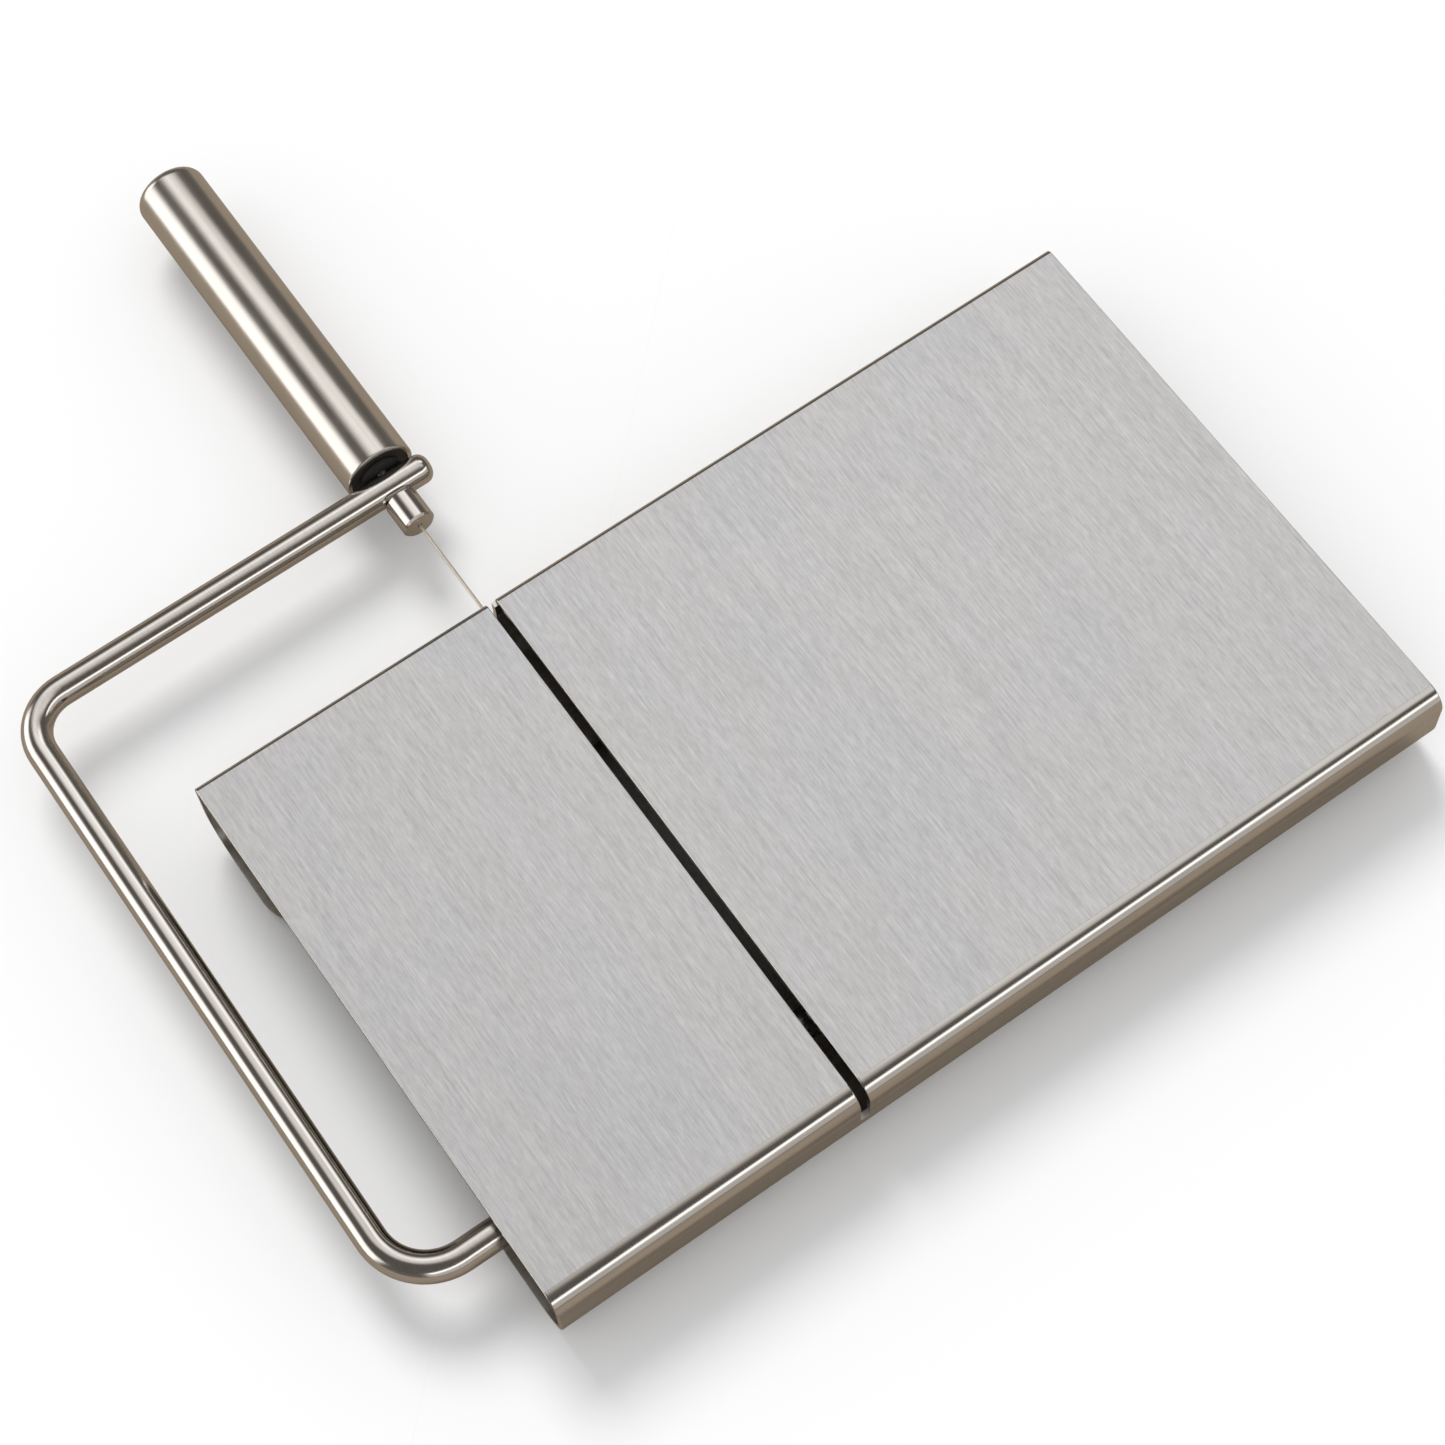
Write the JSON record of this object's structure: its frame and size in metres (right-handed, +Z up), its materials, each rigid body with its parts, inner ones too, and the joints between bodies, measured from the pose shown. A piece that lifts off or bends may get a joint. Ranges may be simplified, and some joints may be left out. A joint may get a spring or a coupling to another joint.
{
  "type": "cheese wire cutter",
  "caption": "Folded stainless cutting board on rubber feet with a swinging wire arm and a tube handle that tightens the wire.",
  "frame": {"origin": "middle of the whole footprint at table level, under the feet", "axes": "+X along the board's long side towards its wide right-hand part, +Y from the board's front wall to the handle, +Z up"},
  "size_m": [0.2222, 0.245, 0.022],
  "materials": {
    "board_steel": "fine straight brushing from front to back on top, satin on the folded front wall",
    "rod_steel": "satin, nearly polished",
    "handle_steel": "satin, brushed along its length",
    "bracket_steel": "mill finish sheet",
    "hardware_steel": "plain turned or stamped",
    "wire_steel": "bright drawn",
    "foot_rubber": "matt",
    "nylon": "natural nylon",
    "black_nylon": "matt moulded",
    "brass": "machined"
  },
  "bodies": {
    "board": {"board_plate": "board_steel", "bracket_rivets": "hardware_steel", "foot_front_left": "foot_rubber", "foot_front_right": "foot_rubber", "foot_back_left": "foot_rubber", "foot_back_right": "foot_rubber", "pivot_bracket_left": "bracket_steel", "pivot_bush_left": "nylon", "pivot_bracket_right": "bracket_steel", "pivot_bush_right": "nylon"},
    "arm": {"arm_rod": "rod_steel", "pivot_washer_left": "hardware_steel", "pivot_washer_right": "hardware_steel", "retaining_clip_left": "hardware_steel", "retaining_clip_right": "hardware_steel"},
    "wire": {"wire_end_ball": "hardware_steel", "cutting_wire": "wire_steel", "wire_button": "hardware_steel", "wire_holder": "rod_steel", "tension_stud": "hardware_steel"},
    "handle": {"handle_tube": "handle_steel", "handle_plug": "black_nylon", "handle_nut": "brass", "thrust_washer": "black_nylon"}
  },
  "joints": [
    {"name": "arm_hinge", "type": "hinge", "parent": "board", "child": "arm", "pos_m": [-0.02285, -0.1019, 0.013], "axis": [1, 0, 0], "range_deg": [0, 180]},
    {"name": "handle_screw", "type": "hinge", "parent": "arm", "child": "handle", "pos_m": [-0.02285, 0.0405, 0.013], "axis": [0, 1, 0], "range_deg": [0, 1800]},
    {"name": "wire_tension", "type": "slide", "parent": "arm", "child": "wire", "axis": [0, -1, 0], "range_m": [0, 0.0025]}
  ],
  "couplings": [
    {"joint": "handle_screw", "follows": "wire_tension", "rad_per_m": 12566}
  ]
}
